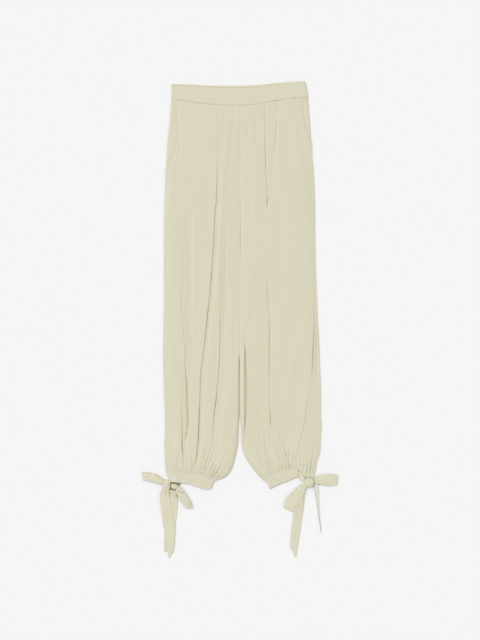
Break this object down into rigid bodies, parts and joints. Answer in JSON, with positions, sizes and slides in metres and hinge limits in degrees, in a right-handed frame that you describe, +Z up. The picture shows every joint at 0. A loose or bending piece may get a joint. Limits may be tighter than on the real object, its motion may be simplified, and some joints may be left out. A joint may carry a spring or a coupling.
{
  "type": "satin trousers",
  "caption": "Straight-leg satin trousers laid flat, with a shaped waistband, slanted side pockets and gathered cuffs that tie in bows.",
  "frame": {"origin": "centre of the bounding box's underside, on the surface that the trousers lie on", "axes": "+X towards the wearer's left, +Y from the hems towards the waist, +Z up out of the front"},
  "size_m": [0.4973, 1.217, 0.0125],
  "materials": {
    "satin": "crepe-backed satin, soft sheen, pale sage cream",
    "satin_tie": "the same satin, smooth and doubled, a little lighter"
  },
  "bodies": {
    "root": {"leg_front_right": "satin", "leg_front_left": "satin", "leg_back_right": "satin", "leg_back_left": "satin", "pocket_side_right": "satin", "pocket_side_left": "satin", "waistband_front": "satin_tie", "waistband_back": "satin_tie", "cuff_right": "satin_tie", "cuff_left": "satin_tie", "tie_knot_right": "satin_tie", "tie_knot_left": "satin_tie", "tie_wrap_right": "satin_tie", "tie_wrap_left": "satin_tie", "bow_loop_side_right": "satin_tie", "bow_loop_side_left": "satin_tie", "bow_loop_front_right": "satin_tie", "bow_loop_front_left": "satin_tie", "bow_tail_upper_right": "satin_tie", "bow_tail_lower_right": "satin_tie", "bow_tail_long_left": "satin_tie", "bow_tail_turned_left": "satin_tie"}
  },
  "joints": []
}
